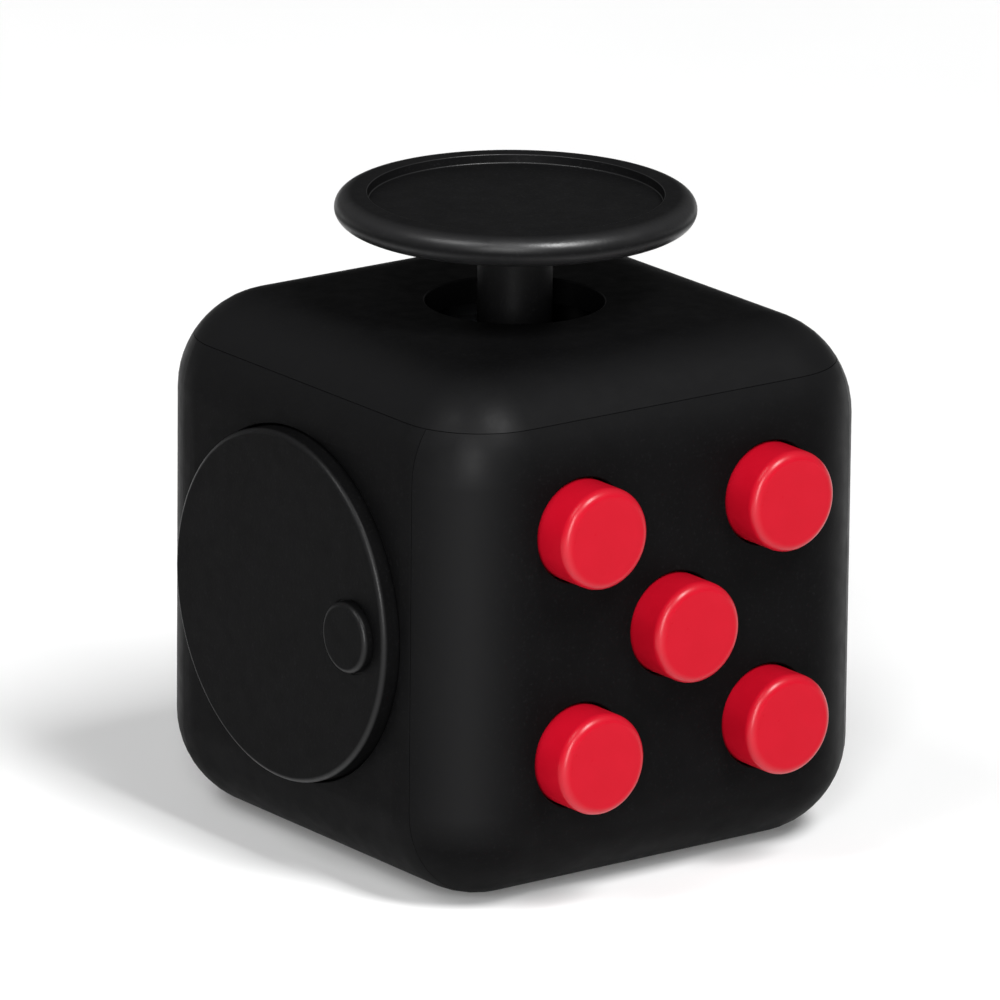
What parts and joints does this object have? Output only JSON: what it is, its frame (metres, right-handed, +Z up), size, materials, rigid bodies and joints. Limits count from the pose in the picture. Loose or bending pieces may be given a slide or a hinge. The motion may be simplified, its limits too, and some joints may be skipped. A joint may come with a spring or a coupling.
{
  "type": "fidget cube",
  "caption": "Desk fidget cube with rounded edges: a joystick disc on top, push buttons, a spinning dial, a flip switch, toothed rollers with a ball, and a thumb rest underneath.",
  "frame": {"origin": "under the middle of the cube, at the height of the surface it stands on", "axes": "+Z up towards the joystick, -Y towards the push buttons, -X towards the dial, +X towards the flip switch, +Y towards the toothed rollers and the ball"},
  "size_m": [0.0365, 0.0384, 0.0397],
  "materials": {
    "casing_black": "fine-grained moulded plastic, satin",
    "control_black": "fine-grained moulded plastic, matt",
    "button_red": "smooth red plastic with soft shine",
    "frame_grey": "plain moulded plastic",
    "gear_chrome": "bright metal plating",
    "spring_steel": "plain bright steel"
  },
  "bodies": {
    "casing": {"top_panel": "casing_black", "base_panel": "casing_black", "dial_panel": "casing_black", "button_panel": "casing_black", "roll_panel": "casing_black", "rocker_panel": "casing_black", "core_frame": "frame_grey", "joystick_housing": "frame_grey", "button_plate": "frame_grey", "rocker_housing": "frame_grey", "roll_carrier": "frame_grey", "trunnion_pin_1": "spring_steel", "trunnion_pin_2": "spring_steel", "joystick_screw_1": "spring_steel", "joystick_screw_2": "spring_steel", "joystick_screw_3": "spring_steel", "centring_spring": "spring_steel", "button_spring_1": "spring_steel", "button_spring_2": "spring_steel", "button_spring_3": "spring_steel", "button_spring_4": "spring_steel", "button_spring_5": "spring_steel", "button_plate_screw_1": "spring_steel", "button_plate_screw_2": "spring_steel", "rocker_pin": "spring_steel", "rocker_screw_1": "spring_steel", "rocker_screw_2": "spring_steel", "gear_axle": "spring_steel", "roll_carrier_screw_1": "spring_steel", "roll_carrier_screw_2": "spring_steel", "ball_spring": "spring_steel"},
    "gimbal": {"gimbal_ring": "frame_grey", "gimbal_pin": "spring_steel"},
    "stick": {"thumb_disc": "control_black", "joystick_stem": "control_black"},
    "button_1": {"button_1": "button_red"},
    "button_2": {"button_2": "button_red"},
    "button_3": {"button_3": "button_red"},
    "button_4": {"button_4": "button_red"},
    "button_5": {"button_5": "button_red"},
    "dial": {"dial": "control_black", "dial_washer": "spring_steel", "dial_screw": "spring_steel"},
    "rocker": {"rocker": "control_black", "rocker_plunger": "spring_steel", "rocker_spring": "spring_steel"},
    "gear_1": {"gear_1": "gear_chrome"},
    "gear_2": {"gear_2": "gear_chrome"},
    "gear_3": {"gear_3": "gear_chrome"},
    "ball_cup": {"ball_cup": "frame_grey"},
    "ball": {"ball": "gear_chrome"}
  },
  "joints": [
    {"name": "stick_tilt_side", "type": "hinge", "parent": "casing", "child": "gimbal", "pos_m": [0, 0, 0.0255], "axis": [1, 0, 0], "range_deg": [-10, 10], "stiffness_Nm_per_rad": 0.02, "deforming": ["centring_spring"]},
    {"name": "stick_tilt_front", "type": "hinge", "parent": "gimbal", "child": "stick", "pos_m": [0, 0, 0.0255], "axis": [0, 1, 0], "range_deg": [-10, 10], "stiffness_Nm_per_rad": 0.02, "deforming": ["centring_spring"]},
    {"name": "button_1_press", "type": "slide", "parent": "casing", "child": "button_1", "axis": [0, 1, 0], "range_m": [0, 0.0012], "stiffness_N_per_m": 300, "springref_m": -0.001, "deforming": ["button_spring_1"]},
    {"name": "button_2_press", "type": "slide", "parent": "casing", "child": "button_2", "axis": [0, 1, 0], "range_m": [0, 0.0012], "stiffness_N_per_m": 300, "springref_m": -0.001, "deforming": ["button_spring_2"]},
    {"name": "button_3_press", "type": "slide", "parent": "casing", "child": "button_3", "axis": [0, 1, 0], "range_m": [0, 0.0012], "stiffness_N_per_m": 300, "springref_m": -0.001, "deforming": ["button_spring_3"]},
    {"name": "button_4_press", "type": "slide", "parent": "casing", "child": "button_4", "axis": [0, 1, 0], "range_m": [0, 0.0012], "stiffness_N_per_m": 300, "springref_m": -0.001, "deforming": ["button_spring_4"]},
    {"name": "button_5_press", "type": "slide", "parent": "casing", "child": "button_5", "axis": [0, 1, 0], "range_m": [0, 0.0012], "stiffness_N_per_m": 300, "springref_m": -0.001, "deforming": ["button_spring_5"]},
    {"name": "dial_spin", "type": "hinge", "parent": "casing", "child": "dial", "pos_m": [-0.0165, 0, 0.0165], "axis": [-1, 0, 0], "continuous": true},
    {"name": "rocker_flip", "type": "hinge", "parent": "casing", "child": "rocker", "pos_m": [0.0131, 0, 0.0165], "axis": [0, -1, 0], "range_deg": [0, 18]},
    {"name": "gear_1_spin", "type": "hinge", "parent": "casing", "child": "gear_1", "pos_m": [0, 0.0135, 0.0217], "axis": [1, 0, 0], "continuous": true},
    {"name": "gear_2_spin", "type": "hinge", "parent": "casing", "child": "gear_2", "pos_m": [0, 0.0135, 0.0217], "axis": [1, 0, 0], "continuous": true},
    {"name": "gear_3_spin", "type": "hinge", "parent": "casing", "child": "gear_3", "pos_m": [0, 0.0135, 0.0217], "axis": [1, 0, 0], "continuous": true},
    {"name": "ball_press", "type": "slide", "parent": "casing", "child": "ball_cup", "axis": [0, -1, 0], "range_m": [0, 0.0008], "stiffness_N_per_m": 400, "springref_m": -0.001, "deforming": ["ball_spring"]},
    {"name": "ball_roll", "type": "hinge", "parent": "ball_cup", "child": "ball", "pos_m": [0, 0.01495, 0.0103], "axis": [1, 0, 0], "continuous": true}
  ]
}
